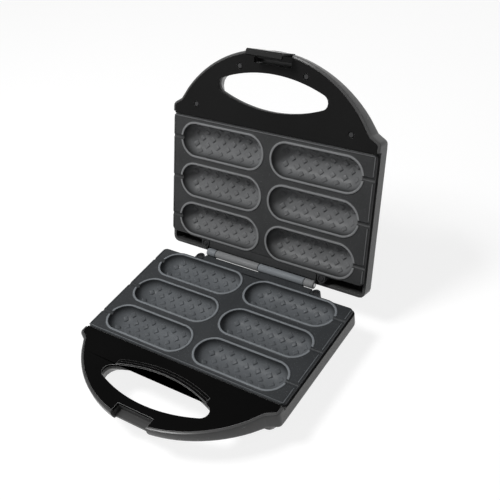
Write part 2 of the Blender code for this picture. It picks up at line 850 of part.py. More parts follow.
def front_tongues():
    """Two lips that hold the plate's front edge down under the deck panel."""
    made = []
    low, rim_back = -panel_seat - tongue_thickness, back(plate_depth - rim_width)
    for side in (-1, 1):
        near, far = side * tongue_place - tongue_width / 2, side * tongue_place + tongue_width / 2
        root = box("root", (near, back(plate_depth), low), (far, rim_back, -face_level - flange_thickness / 2))
        tongue = box("tongue", (near, back(plate_depth + tongue_reach), low), (far, rim_back, -panel_seat))
        made.append(join(tongue, root))
    return gather("tongues", made)


def cooking_plate():
    """The cast plate of either half: cavities, rims, stick slots, front tongues and hinge knuckles."""
    half = rounded_half(plate_width / 2, 0, plate_depth, plate_corner)
    body = flat_solid("plate", [mirrored(half)], flange_under, face_level)
    tab = long_knuckle + short_knuckle + 2 * knuckle_gap
    rear_tab = box("tab", (-tab, back(rim_width), -flange_under), (tab, back(-rear_tab_depth), -face_level))
    body = join(body, rear_tab, rear_ears(), casting_bowls(), cavity_rims(), heater_ribs(), front_tongues())
    first = knuckle_gap / 2
    short_start = first + long_knuckle + knuckle_gap
    short_end = short_start + short_knuckle
    body = join(body, knuckle("long", first, first + long_knuckle), knuckle("short", -short_end, -short_start))
    end = short_end + overrun
    body = cut(body, cylinder("pin_bore", pin_radius + seat_gap, (-end, 0, 0), (end, 0, 0), small_steps))
    spots = ear_spots()
    body = cut(body, hollow_holes(spots, -overrun, flange_under + overrun, screw_hole))
    body = cut(body, hollow_holes(spots, -overrun, face_level + ear_counterbore, counterbore_radius))
    return cut(body, stick_slots(), at_cavities(cut(trough("inner", 0), studs())))


def screw(name, x, y, head_top, length, up=False):
    """A pan head screw with its head at this depth; up turns it to point towards the plate's face."""
    shank_end = -length
    profile = [(0, 0), (screw_head * 0.8, 0), (screw_head, -screw_head_height / 2), (screw_head, -screw_head_height),
               (screw_shank, -screw_head_height), (screw_shank, shank_end + screw_shank), (0, shank_end)]
    turn = Matrix.Rotation(math.pi, 4, "X") if up else None
    return turned(name, profile, (x, y, -head_top), turn, small_steps)


def heater_path(level):
    """A U of tube under the two lands between the rows."""
    middle = back(plate_depth / 2 - row_shift)
    half = row_pitch / 2
    points = [(heater_leg_half + heater_terminal_length, middle - half, -level)]
    for i in range(bend_steps + 1):
        angle = -math.pi / 2 - math.pi * i / bend_steps
        points.append((-heater_leg_half + half + half * math.cos(angle), middle + half * math.sin(angle), -level))
    points.append((heater_leg_half + heater_terminal_length, middle + half, -level))
    return points


def thermostat_hole():
    x, y = thermostat_place, row_middle()
    return cylinder("thermostat_hole", thermostat_radius + 2 * seat_gap, (x, y, -belly_depth), (x, y, 0))


def reflector(name):
    """A pressed tray that throws the heat back to the plate."""
    half = rounded_half(reflector_half_width, reflector_margin, plate_depth - reflector_margin, plate_corner)
    inner = rounded_half(reflector_half_width - reflector_thickness, reflector_margin + reflector_thickness,
                         plate_depth - reflector_margin - reflector_thickness, plate_corner - reflector_thickness)
    bottom = reflector_level + reflector_thickness
    tray = flat_solid(name, [mirrored(half)], bottom, reflector_level - reflector_turn_up)
    return cut(tray, flat_solid("space", [mirrored(inner)], reflector_level, reflector_level - 2 * reflector_turn_up))


def row_middle():
    return back(plate_depth / 2 - row_shift)


def thermostat():
    """A bimetal disc thermostat whose cap faces the underside of a middle cavity."""
    profile = [(0, 0), (thermostat_cap_radius, 0), (thermostat_cap_radius, -thermostat_cap_height),
               (thermostat_radius, -thermostat_cap_height), (thermostat_radius, -thermostat_height),
               (0, -thermostat_height)]
    return turned("thermostat", profile, (thermostat_place, row_middle(), -trough_under - seat_gap))


def thermal_fuse():
    level = -trough_under - seat_gap - fuse_radius
    y = row_middle()
    return cylinder("thermal_fuse", fuse_radius, (fuse_place - fuse_length / 2, y, level),
                    (fuse_place + fuse_length / 2, y, level), small_steps)


def terminal_block():
    length, width, height = terminal_size
    floor = -belly_depth + wall + seat_gap
    y = back(terminal_reach)
    return box("terminal_block", (terminal_place - length / 2, y - width / 2, floor),
               (terminal_place + length / 2, y + width / 2, floor + height), terminal_round)


def cord_gland():
    """A bush in the rear wall, with a flange outside and a lip inside."""
    inside = wall + 2 * seat_gap
    outside = gland_lip + seat_gap
    profile = [(gland_bore, outside), (gland_flange - gland_lip / 3, outside), (gland_flange, outside - gland_lip / 3),
               (gland_flange, seat_gap), (gland_radius, seat_gap), (gland_radius, -inside - gland_lip),
               (gland_bore, -inside - gland_lip), (gland_bore, outside)]
    turn = Matrix.Rotation(-math.pi / 2, 4, "X")
    return turned("cord_gland", profile, (gland_place, back(base_rear_reach + draft), -gland_level), turn)


def foot_spots():
    return [(side * foot_place, back(reach)) for side in (-1, 1) for reach in (foot_rear_reach, foot_front_reach)]


def foot(name, x, y):
    """A rubber foot with a stem that pops into the housing's floor."""
    stem = wall + seat_gap
    profile = [(0, stem + foot_stem_radius), (foot_stem_radius * 0.6, stem + foot_stem_radius),
               (foot_stem_lip, stem), (foot_stem_radius, stem), (foot_stem_radius, -seat_gap),
               (foot_radius, -seat_gap), (foot_radius, -foot_height / 2),
               (foot_radius - foot_height / 6, -foot_height), (0, -foot_height)]
    return turned(name, profile, (x, y, -belly_depth))


def latch_clip():
    """The clip that swings on the lid's tip and hooks under the base's ledge."""
    y = back(latch_pin_reach)
    inner = back(ledge_reach + latch_clearance)
    outer = inner - latch_plate_thickness
    hook_in = ledge_level + ledge_thickness + 2 * seat_gap
    hook_out = hook_in + latch_hook_thickness
    level = -latch_pin_level
    radius = latch_knuckle_radius
    angles = [math.pi * (1 + i / fillet_steps / 2) for i in range(fillet_steps * 2 + 2)]
    profile = [(y + radius * math.cos(angle), level + radius * math.sin(angle)) for angle in angles]
    profile += [(inner, level + radius), (inner, hook_in), (inner + latch_hook_reach, hook_in),
                (inner + latch_hook_reach - latch_hook_thickness / 3, hook_out),
                (outer + latch_plate_thickness / 2, hook_out), (outer, hook_out - latch_plate_thickness / 2),
                (outer, level - radius / 3)]
    clip = flat_solid("latch_clip", [profile], latch_half, -latch_half)
    clip.data.transform(Matrix(((0, 0, 1, 0), (1, 0, 0, 0), (0, 1, 0, 0), (0, 0, 0, 1))))
    return cut(clip, cylinder("clip_bore", latch_pin_radius + seat_gap, (-latch_half_width, y, level),
                              (latch_half_width, y, level), small_steps))


def lamp_lens(name, x):
    """A lamp lens pushed into the lid's outer face from outside."""
    inside = wall + seat_gap
    profile = [(0, inside), (lamp_radius, inside), (lamp_radius, -seat_gap), (lamp_flange, -seat_gap),
               (lamp_flange, -lamp_flange_height), (lamp_radius, -lamp_flange_height - lamp_dome / 2),
               (lamp_radius / 2, -lamp_flange_height - lamp_dome), (0, -lamp_flange_height - lamp_dome)]
    return turned(name, profile, (x, back(lamp_reach), -belly_depth))


def lamp(name, x):
    low = -belly_depth + wall + 2 * seat_gap
    y = back(lamp_reach)
    return cylinder(name, lamp_body_radius, (x, y, low), (x, y, low + lamp_body_height), small_steps)


def hinge_pin():
    end = long_knuckle + short_knuckle + 2 * knuckle_gap
    return cylinder("hinge_pin", pin_radius, (-end, 0, 0), (end, 0, 0), small_steps)


def latch_pin():
    end = latch_half_width + latch_pin_bite
    y = back(latch_pin_reach)
    return cylinder("latch_pin", latch_pin_radius, (-end, y, -latch_pin_level), (end, y, -latch_pin_level),
                    small_steps)


def heater(name):
    return tube(name, heater_path(heater_level), heater_radius)


def plate_screws(name):
    top = face_level + ear_counterbore - seat_gap - screw_head_height
    return [screw(f"{name}_{side}", x, y, top, screw_length)
            for side, (x, y) in zip(("left", "right"), ear_spots())]


def deck_screws(name, top, up):
    return [screw(f"{name}_{i + 1}", x, y, top, screw_length, up) for i, (x, y) in enumerate(screw_spots())]


def empty(name, parent, location, turn):
    made = bpy.data.objects.new(name, None)
    made.parent = parent
    made.matrix_local = Matrix.Translation(location) @ turn
    parts.objects.link(made)
    return made


def finish(things, parent, colour, metallic, roughness):
    """Hang pieces on their frame, and give each its own material and shading."""
    for thing in things:
        thing.parent = parent
        thing.data.materials.clear()
        thing.data.materials.append(material(thing.name, colour, metallic, roughness))
        thing.data.shade_smooth()
        thing.data.set_sharp_from_angle(angle=sharp_angle)


def build_base(frame, plate):
    finish([base_shell()], frame, *shell_look)
    finish([base_deck()], frame, *deck_look)
    finish([plate], frame, *plate_look)
    head_seat = panel_seat + screw_length / 2 + wall
    screws = deck_screws("base_deck_screw", head_seat + seat_gap + screw_head_height, True)
    finish(screws + plate_screws("lower_plate_screw") + [hinge_pin()], frame, *steel_look)
    finish([heater("lower_heater"), thermostat(), thermal_fuse()], frame, *tube_look)
    finish([cut(reflector("lower_reflector"), thermostat_hole())], frame, *bright_look)
    finish([terminal_block()], frame, *pale_look)
    finish([foot(f"foot_{i + 1}", x, y) for i, (x, y) in enumerate(foot_spots())], frame, *rubber_look)
    finish([cord_gland()], frame, *rubber_look)


def build_lid(frame, plate):
    finish([lid_shell()], frame, *shell_look)
    finish([lid_deck()], frame, *deck_look)
    finish([plate], frame, *plate_look)
    screws = deck_screws("lid_deck_screw", deck_level, False)
    finish(screws + plate_screws("upper_plate_screw") + [latch_pin()], frame, *steel_look)
    finish([heater("upper_heater")], frame, *tube_look)
    finish([reflector("upper_reflector")], frame, *bright_look)
    for name, x, look in (("power", lamp_places[0], red_look), ("ready", lamp_places[1], green_look)):
        finish([lamp_lens(f"{name}_lens", x), lamp(f"{name}_lamp", x)], frame, *look)


def build():
    plate = cooking_plate()
    plate.name = "lower_plate"
    twin = bpy.data.objects.new("upper_plate", plate.data.copy())
    parts.objects.link(twin)
    base_origin = empty("base_origin", None, (0, hinge_place, stand_height), Matrix())
    swing = Matrix.Rotation(-open_angle, 4, "X") @ Matrix.Rotation(math.pi, 4, "Y")
    lid_pivot = empty("lid_pivot", base_origin, (0, 0, 0), swing)
    pin = Vector((0, back(latch_pin_reach), -latch_pin_level))
    latch_pivot = empty("latch_pivot", lid_pivot, pin, Matrix.Rotation(latch_angle, 4, "X"))
    build_base(base_origin, plate)
    build_lid(lid_pivot, twin)
    clip = latch_clip()
    clip.data.transform(Matrix.Translation(-pin))
    finish([clip], latch_pivot, *clip_look)


clear_scene()
parts = new_collection("crepe_and_hot_dog_maker")
cutters = new_collection("cutters")
build()
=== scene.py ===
import bmesh
import bpy
import json
import math
from mathutils import Matrix, Vector


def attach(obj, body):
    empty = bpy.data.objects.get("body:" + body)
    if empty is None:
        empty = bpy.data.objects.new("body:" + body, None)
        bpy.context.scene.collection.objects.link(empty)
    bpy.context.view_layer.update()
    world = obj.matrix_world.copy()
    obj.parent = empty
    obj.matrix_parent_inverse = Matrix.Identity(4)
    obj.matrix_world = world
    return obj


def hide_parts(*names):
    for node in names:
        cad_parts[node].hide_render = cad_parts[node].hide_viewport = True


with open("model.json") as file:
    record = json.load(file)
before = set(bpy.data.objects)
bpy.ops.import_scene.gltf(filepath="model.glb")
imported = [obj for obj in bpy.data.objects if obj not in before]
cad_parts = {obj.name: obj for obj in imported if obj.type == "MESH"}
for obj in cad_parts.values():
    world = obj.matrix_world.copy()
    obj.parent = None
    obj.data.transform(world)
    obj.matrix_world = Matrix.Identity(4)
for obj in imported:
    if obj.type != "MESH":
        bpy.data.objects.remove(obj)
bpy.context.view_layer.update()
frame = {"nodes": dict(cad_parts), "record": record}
nodes = frame["nodes"]
scene = bpy.context.scene
print("frame loaded with", len(nodes), "nodes")

hingeJoint = next(joint for joint in frame["record"]["behaviour"]["joints"] if joint["name"] == "lid_hinge")
hingeLine = Vector(hingeJoint["pos_m"])
lidAngle = math.radians(hingeJoint["range_deg"][1])
basePlace = Matrix.Translation(hingeLine)  # each half is drawn face up with its hinge line on X
lidPlace = basePlace @ Matrix.Rotation(-lidAngle, 4, "X") @ Matrix.Rotation(math.pi, 4, "Y")


class Wire:  # a shader socket that takes part in sums
    def __init__(self, recipe, socket):
        self.recipe = recipe
        self.socket = socket

    def maths(self, operation, first, second):
        return self.recipe.node("ShaderNodeMath", {"operation": operation}, {0: first, 1: second})

    def __add__(self, other):
        return self.maths("ADD", self, other)

    def __sub__(self, other):
        return self.maths("SUBTRACT", self, other)

    def __mul__(self, other):
        return self.maths("MULTIPLY", self, other)

    __radd__ = __add__


class Recipe:  # one material and its nodes
    def __init__(self, name, look):
        self.material = bpy.data.materials.new(name)
        self.material.use_nodes = True
        self.tree = self.material.node_tree
        self.shader = self.tree.nodes["Principled BSDF"]
        self.coords = self.tree.nodes.new("ShaderNodeTexCoord").outputs["Object"]
        for socket, value in look.get("fixed", {}).items():
            self.shader.inputs[socket].default_value = value

    def feed(self, socket, value):
        if isinstance(value, Wire):
            self.tree.links.new(value.socket, socket)
        else:
            socket.default_value = value

    def node(self, kind, settings=None, values=None, output=0):
        made = self.tree.nodes.new(kind)
        for name, value in (settings or {}).items():
            setattr(made, name, value)
        for name, value in (values or {}).items():
            self.feed(made.inputs[name], value)
        return Wire(self, made.outputs[output])

    def noise(self, scale, detail, rough, stretch=(1, 1, 1)):
        place = Wire(self, self.coords)
        if stretch != (1, 1, 1):
            place = self.node("ShaderNodeMapping", {}, {"Vector": place, "Scale": stretch})
        values = {"Vector": place, "Scale": scale, "Detail": detail, "Roughness": rough}
        return self.node("ShaderNodeTexNoise", {}, values)

    def spread(self, wire, low, high):
        # 0 up to low, 1 from high
        values = {"Value": wire, "From Min": low, "From Max": high}
        return self.node("ShaderNodeMapRange", {"clamp": True}, values)

    def blend(self, factor, first, second):
        # inputs 6 and 7 are the mix node's two colours, and output 2 is the mixed colour
        return self.node("ShaderNodeMix", {"data_type": "RGBA"}, {"Factor": factor, 6: first, 7: second}, 2)

    def bump(self, height, strength, distance):
        return self.node("ShaderNodeBump", {}, {"Height": height, "Strength": strength, "Distance": distance})

    def finish(self, colour, roughness, normal=None, metallic=None):
        self.feed(self.shader.inputs["Base Color"], colour)
        self.feed(self.shader.inputs["Roughness"], roughness)
        if normal:
            self.feed(self.shader.inputs["Normal"], normal)
        if metallic is not None:
            self.feed(self.shader.inputs["Metallic"], metallic)
        return self.material


def grey(value, blue=0.0):
    # blue is the share by which blue stands above red; green stands halfway
    return (value, value * (1 + blue * 0.5), value * (1 + blue), 1.0)


noiseMiddle = 0.5  # a noise is about this on average

# In each set of marks a noise is (scale, detail, roughness), or without a scale where the look
# gives it, and a range is (from, to)
plasticMarks = {"grain": (2.0, 0.6), "cloud": (9.0, 3.0, 0.55), "cloudRange": (0.35, 0.68),
                "scuff": (140.0, 4.0, 0.7), "scuffStretch": (1.0, 0.16, 1.0), "scuffRange": (0.56, 0.72),
                "reliefHeight": 0.0001}


def mouldedPlastic(name, look):
    # injection-moulded plastic: a faint grain, slight flow marks and fine scuffs in the gloss
    marks, recipe = plasticMarks, Recipe(name, look)
    grain = recipe.noise(look["grain"], *marks["grain"])
    cloud = recipe.noise(*marks["cloud"])
    scuff = recipe.spread(recipe.noise(*marks["scuff"], marks["scuffStretch"]), *marks["scuffRange"])
    colour = recipe.blend(recipe.spread(cloud, *marks["cloudRange"]), grey(look["dark"]), grey(look["light"]))
    roughness = look["rough"] + (cloud - noiseMiddle) * look["vary"] + scuff * look["scuff"]
    return recipe.finish(colour, roughness, recipe.bump(grain, look["relief"], marks["reliefHeight"]))


# bowlDepths and rimDepths are the depths at which the painted bowl sheen and the painted rim highlight are
# laid
coatMarks = {"peel": (2.0, 0.55), "peelVary": 0.10, "mottle": (38.0, 4.0, 0.6), "mottleRange": (0.3, 0.7),
             "fleck": (1500.0, 1.0, 0.4), "fleckRange": (0.69, 0.75), "fleckTone": 0.40, "fleckRelief": 0.3,
             "bowlDepths": (0.0025, 0.0085), "rimDepths": (0.00036, 0.00075), "reliefHeight": 0.00012}


def coatedCasting(name, look):
    # sprayed non-stick coat: fine orange peel, pale flecks, a soft mottle, with the bowls painted paler as a
    # painted sheen and the rims painted pale as a painted highlight
    marks, recipe, blue = coatMarks, Recipe(name, look), look["blue"]
    peel = recipe.noise(look["peel"], *marks["peel"])
    mottle = recipe.noise(*marks["mottle"])
    fleck = recipe.spread(recipe.noise(*marks["fleck"]), *marks["fleckRange"])
    coat = recipe.blend(recipe.spread(mottle, *marks["mottleRange"]), grey(look["dark"], blue),
                        grey(look["light"], blue))
    # painted sheen: the coat made paler by the bowl factor, for the bowls' lit lower walls
    pale = recipe.blend(recipe.spread(mottle, *marks["mottleRange"]), grey(look["dark"] * look["bowl"], blue),
                        grey(look["light"] * look["bowl"], blue))
    # the piece's own depth below the parting plane, output 2 as one value, tells rim, land and bowl apart
    depth = recipe.node("ShaderNodeAttribute", {"attribute_name": "depth"}, {}, 2)
    bowl = recipe.blend(recipe.spread(depth, *marks["bowlDepths"]), coat, pale)
    # painted highlight: the raised rims take the pale rim colour, for the light lines along them
    paintedSheenColour = recipe.blend(recipe.spread(depth, *marks["rimDepths"]), grey(look["rim"], blue), bowl)
    colour = recipe.blend(fleck * look["fleck"], paintedSheenColour, grey(marks["fleckTone"], blue))
    roughness = look["rough"] + (mottle - noiseMiddle) * look["vary"]
    roughness += (peel - noiseMiddle) * marks["peelVary"]
    relief = recipe.bump(peel + fleck * marks["fleckRelief"], look["relief"], marks["reliefHeight"])
    return recipe.finish(colour, roughness, relief)


metalMarks = {"grain": (900.0, 3.0, 0.6), "grainVary": 0.12, "tarnish": (120.0, 4.0, 0.6),
              "tarnishRange": (0.45, 0.75), "tarnishVary": 0.15, "relief": 0.15, "reliefHeight": 0.00005}


def plainMetal(name, look):
    # drawn or turned metal with a directional grain and a little tarnish
    marks, recipe = metalMarks, Recipe(name, look)
    grain = recipe.noise(*marks["grain"], look["along"])
    tarnish = recipe.spread(recipe.noise(*marks["tarnish"]), *marks["tarnishRange"])
    colour = recipe.blend(tarnish, (*look["clean"], 1.0), (*look["dull"], 1.0))
    roughness = look["rough"] + grain * marks["grainVary"] + tarnish * marks["tarnishVary"]
    relief = recipe.bump(grain, marks["relief"], marks["reliefHeight"])
    return recipe.finish(colour, roughness, relief, look["metal"])


rubberMarks = {"grain": (700.0, 3.0, 0.6), "dust": (60.0, 4.0, 0.6), "dustRange": (0.5, 0.8),
               "reliefHeight": 0.0001}


def softRubber(name, look):
    # dull rubber with a fine grain and dust in patches
    marks, recipe = rubberMarks, Recipe(name, look)
    grain = recipe.noise(*marks["grain"])
    dust = recipe.spread(recipe.noise(*marks["dust"]), *marks["dustRange"])
    colour = recipe.blend(dust, grey(look["dark"]), grey(look["light"]))
    relief = recipe.bump(grain, look["relief"], marks["reliefHeight"])
    return recipe.finish(colour, look["rough"] + dust * look["vary"], relief)


lensMarks = {"cloud": (260.0, 2.0, 0.5), "cloudRange": (0.3, 0.7)}


def tintedLens(name, look):
    # tinted lens with uneven depth of colour
    marks, recipe = lensMarks, Recipe(name, look)
    cloud = recipe.spread(recipe.noise(*marks["cloud"]), *marks["cloudRange"])
    colour = recipe.blend(cloud, (*look["deep"], 1.0), (*look["clear"], 1.0))
    return recipe.finish(colour, look["rough"] + cloud * look["vary"])


looks = {
    "housing": {"dark": 0.060, "light": 0.078, "rough": 0.24, "vary": 0.08, "scuff": 0.05, "grain": 1400.0,
                "relief": 0.015, "fixed": {"Specular IOR Level": 0.20, "IOR": 1.5}},
    "baseDeck": {"dark": 0.0022, "light": 0.0034, "rough": 0.50, "vary": 0.06, "scuff": 0.04, "grain": 2200.0,
                 "relief": 0.10, "fixed": {"Specular IOR Level": 0.015}},
    "lidDeck": {"dark": 0.0080, "light": 0.0110, "rough": 0.46, "vary": 0.06, "scuff": 0.05, "grain": 2200.0,
                "relief": 0.12, "fixed": {"Specular IOR Level": 0.05}},
    "clip": {"dark": 0.010, "light": 0.016, "rough": 0.16, "vary": 0.06, "scuff": 0.05, "grain": 1400.0,
             "relief": 0.04, "fixed": {"Specular IOR Level": 0.12}},
    # painted highlight: pale plastic laid on the bevels of the black parts, for light caught along their
    # edges
    "edge": {"dark": 0.200, "light": 0.260, "rough": 0.28, "vary": 0.06, "scuff": 0.04, "grain": 1400.0,
             "relief": 0.04, "fixed": {"Specular IOR Level": 0.3}},
    # in the coats, bowl is a painted sheen factor for the bowls and rim a painted highlight colour for the
    # raised rims
    "coat": {"dark": 0.036, "light": 0.046, "bowl": 2.9, "rim": 0.220, "blue": 0.14, "rough": 0.38,
             "vary": 0.10, "peel": 1100.0, "fleck": 0.25, "relief": 0.25,
             "fixed": {"Specular IOR Level": 0.09}},
    # the lid's copy of the lower plate's coat is painted a little paler, with a stronger bowl sheen: painted
    # light and shade for how each plate faces the top lamp, not a different coat
    "lidCoat": {"dark": 0.040, "light": 0.050, "bowl": 3.2, "rim": 0.230, "blue": 0.04, "rough": 0.36,
                "vary": 0.10, "peel": 1100.0, "fleck": 0.18, "relief": 0.25,
                "fixed": {"Specular IOR Level": 0.09}},
    "steel": {"clean": (0.58, 0.58, 0.59), "dull": (0.36, 0.36, 0.37), "rough": 0.22, "metal": 1.0,
              "along": (0.05, 1.0, 1.0)},
    "blackSteel": {"clean": (0.030, 0.030, 0.031), "dull": (0.016, 0.016, 0.017), "rough": 0.34, "metal": 0.6,
                   "along": (1.0, 1.0, 1.0)},
    "tube": {"clean": (0.30, 0.29, 0.27), "dull": (0.16, 0.14, 0.12), "rough": 0.35, "metal": 1.0,
             "along": (0.05, 1.0, 1.0)},
    "sheet": {"clean": (0.80, 0.81, 0.82), "dull": (0.60, 0.61, 0.62), "rough": 0.25, "metal": 1.0,
              "along": (0.04, 1.0, 1.0)},
    "ceramic": {"clean": (0.80, 0.78, 0.73), "dull": (0.66, 0.63, 0.57), "rough": 0.45, "metal": 0.0,
                "along": (1.0, 1.0, 1.0)},
    "rubber": {"dark": 0.012, "light": 0.030, "rough": 0.62, "vary": 0.2, "relief": 0.3},
    "red": {"deep": (0.30, 0.006, 0.004), "clear": (0.62, 0.03, 0.02), "rough": 0.10, "vary": 0.06,
            "fixed": {"Coat Weight": 0.5}},
    "green": {"deep": (0.010, 0.22, 0.03), "clear": (0.04, 0.50, 0.09), "rough": 0.10, "vary": 0.06,
              "fixed": {"Coat Weight": 0.5}},
}

finishes = {
    "housing": mouldedPlastic("housingPlastic", looks["housing"]),
    "baseDeck": mouldedPlastic("baseDeckPlastic", looks["baseDeck"]),
    "lidDeck": mouldedPlastic("lidDeckPlastic", looks["lidDeck"]),
    "clip": mouldedPlastic("clipPlastic", looks["clip"]),
    "edge": mouldedPlastic("edgePlastic", looks["edge"]),
    "coat": coatedCasting("lowerCoat", looks["coat"]),
    "lidCoat": coatedCasting("upperCoat", looks["lidCoat"]),
    "steel": plainMetal("zincSteel", looks["steel"]),
    "blackSteel": plainMetal("blackenedSteel", looks["blackSteel"]),
    "tube": plainMetal("heaterTube", looks["tube"]),
    "sheet": plainMetal("aluminiumSheet", looks["sheet"]),
    "ceramic": plainMetal("terminalCeramic", looks["ceramic"]),
    "rubber": softRubber("footRubber", looks["rubber"]),
    "red": tintedLens("redLens", looks["red"]),
    "green": tintedLens("greenLens", looks["green"]),
}

# Which finish each node wears; screws and feet are found by name
wearing = {
    "base_shell": "housing", "lid_shell": "housing", "base_deck": "baseDeck", "lid_deck": "lidDeck",
    "latch_clip": "clip", "lower_plate": "coat", "upper_plate": "lidCoat", "lower_heater": "tube",
    "upper_heater": "tube", "lower_reflector": "sheet", "upper_reflector": "sheet", "thermostat": "sheet",
    "thermal_fuse": "sheet", "terminal_block": "ceramic", "cord_gland": "rubber", "hinge_pin": "steel",
    "latch_pin": "steel", "power_lens": "red", "power_lamp": "red", "ready_lens": "green",
    "ready_lamp": "green",
}


def finishOf(name):
    if "screw" in name:
        return finishes["blackSteel"]
    if name.startswith("foot"):
        return finishes["rubber"]
    return finishes[wearing[name]]


for name, thing in nodes.items():
    thing.data.materials.clear()
    thing.data.materials.append(finishOf(name))
print("materials made:", len(finishes))


# Meshes: the cooking plates are drawn here in their half's own frame and then carried to their place.
# The other pieces start from a copy of their solid, which is in place already.
def smoothBy(mesh, degrees):
    mesh.shade_smooth()
    mesh.set_sharp_from_angle(angle=math.radians(degrees))


def pieceFrom(mesh, name, place, body, finish, *replaced):
    mesh.transform(place)
    made = bpy.data.objects.new(name, mesh)
    scene.collection.objects.link(made)
    mesh.materials.clear()
    mesh.materials.append(finish)
    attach(made, body)
    if replaced:
        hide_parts(*replaced)
    return made


def bridge(bm, rings):
    rows = [[bm.verts.new(point) for point in ring] for ring in rings]
    for lower, upper in zip(rows, rows[1:]):
        for i in range(len(lower)):
            j = (i + 1) % len(lower)
            bm.faces.new((lower[i], lower[j], upper[j], upper[i]))
    return rows


def fillBetween(bm, loops):
    edges = []
    for loop in loops:
        for i in range(len(loop)):
            pair = (loop[i], loop[(i + 1) % len(loop)])
            edges.append(bm.edges.get(pair) or bm.edges.new(pair))
    bmesh.ops.triangle_fill(bm, use_beauty=True, use_dissolve=False, edges=edges)


def meshOf(bm, name):
    bmesh.ops.recalc_face_normals(bm, faces=bm.faces)
    mesh = bpy.data.meshes.new(name)
    bm.to_mesh(mesh)
    bm.free()
    return mesh


def baked(thing, name):
    bpy.context.view_layer.update()
    graph = bpy.context.evaluated_depsgraph_get()
    mesh = bpy.data.meshes.new_from_object(thing.evaluated_get(graph))
    mesh.name = name
    bpy.data.objects.remove(thing, do_unlink=True)
    return mesh


outlineShape = {"roundingSteps": 2, "weld": 0.000001}


def flatPiece(loops, low, high, rounding):
    # a plate with these outlines and softly rounded edges
    curve = bpy.data.curves.new("outline", "CURVE")
    curve.dimensions = "2D"
    curve.fill_mode = "BOTH"
    curve.extrude = (high - low) / 2 - rounding
    curve.bevel_depth = rounding
    curve.bevel_resolution = outlineShape["roundingSteps"]
    curve.offset = -rounding
    for loop in loops:
        line = curve.splines.new("POLY")
        line.points.add(len(loop) - 1)
        line.points.foreach_set("co", [part for x, y in loop for part in (x, y, 0, 1)])
        line.use_cyclic_u = True
    thing = bpy.data.objects.new("outline", curve)
    scene.collection.objects.link(thing)
    mesh = baked(thing, "outline")
    bm = bmesh.new()
    bm.from_mesh(mesh)
    bmesh.ops.remove_doubles(bm, verts=bm.verts, dist=outlineShape["weld"])
    bmesh.ops.translate(bm, verts=bm.verts, vec=(0, 0, (high + low) / 2))
    return meshOf(bm, "outline")


# endCap is the radius of the small face in the middle of each end, and rimMiddle places the
# middle point of the rounding
barShape = {"endCap": 0.0001, "rimMiddle": 0.3}


def roundBar(radius, start, end, rounding, steps):
    # a bar along X with rounded rims
    cap, part = barShape["endCap"], rounding * barShape["rimMiddle"]
    profile = [(start, cap), (start, radius - rounding), (start + part, radius - part),
               (start + rounding, radius), (end - rounding, radius),
               (end - part, radius - part), (end, radius - rounding), (end, cap)]
    bm = bmesh.new()
    rings = []
    for x, r in profile:
        rings.append([(x, r * math.cos(math.tau * i / steps), r * math.sin(math.tau * i / steps))
                      for i in range(steps)])
    rows = bridge(bm, rings)
    bm.faces.new(rows[0])
    bm.faces.new(rows[-1])
    return meshOf(bm, "bar")


def merged(name, meshes):
    bm = bmesh.new()
    for mesh in meshes:
        bm.from_mesh(mesh)
    made = bpy.data.meshes.new(name)
    bm.to_mesh(made)
    bm.free()
    return made


# Pieces that keep their solid's form: its triangles are joined up again and its hard edges softened
edges = {
    "base_shell": 0.00035, "lid_shell": 0.00035, "base_deck": 0.00025, "lid_deck": 0.00025,
    "latch_clip": 0.00045, "cord_gland": 0.0003, "power_lens": 0.0002, "ready_lens": 0.0002,
    "terminal_block": 0.0003, "foot_1": 0.0004, "foot_2": 0.0004, "foot_3": 0.0004, "foot_4": 0.0004,
    "thermostat": 0.0003,
}
# These have a painted highlight on their moulded edges: a pale plastic colour on their bevels
highlightEdged = ("base_shell", "lid_shell", "base_deck", "lid_deck", "latch_clip")
softening = {"weld": 0.000002, "flatAngle": 0.5, "sharpAngle": 34, "segments": 2}


def bodyOf(name):
    return next(body for body, held in frame["record"]["behaviour"]["bodies"].items() if name in held)


def camelName(name):
    first, *rest = name.split("_")
    return first + "".join(word.capitalize() for word in rest)


def softened(name, width):
    bm = bmesh.new()
    bm.from_mesh(nodes[name].data)
    bm.transform(nodes[name].matrix_world)
    bmesh.ops.remove_doubles(bm, verts=bm.verts, dist=softening["weld"])
    flat = math.radians(softening["flatAngle"])
    bmesh.ops.dissolve_limit(bm, angle_limit=flat, verts=bm.verts, edges=bm.edges)
    mesh = meshOf(bm, camelName(name))
    smoothBy(mesh, softening["sharpAngle"])
    mesh.materials.append(finishOf(name))
    mesh.materials.append(finishes["edge"])
    thing = bpy.data.objects.new(name, mesh)
    scene.collection.objects.link(thing)
    step = thing.modifiers.new("edges", "BEVEL")
    step.width = width
    step.segments = softening["segments"]
    step.limit_method = "ANGLE"
    step.angle_limit = math.radians(softening["sharpAngle"])
    step.miter_outer = "MITER_ARC"
    step.harden_normals = True
    # the bevel faces of the listed pieces take the painted edge highlight
    step.material = 1 if name in highlightEdged else 0
    level = thing.modifiers.new("level", "WEIGHTED_NORMAL")
    level.keep_sharp = True
    return baked(thing, camelName(name))


for name, width in edges.items():
    mesh = softened(name, width)
    slots = [face.material_index for face in mesh.polygons]
    made = pieceFrom(mesh, camelName(name), Matrix(), bodyOf(name), finishOf(name), name)
    if name in highlightEdged:
        made.data.materials.append(finishes["edge"])
        made.data.polygons.foreach_set("material_index", slots)
print("housings and trim softened:", len(edges))


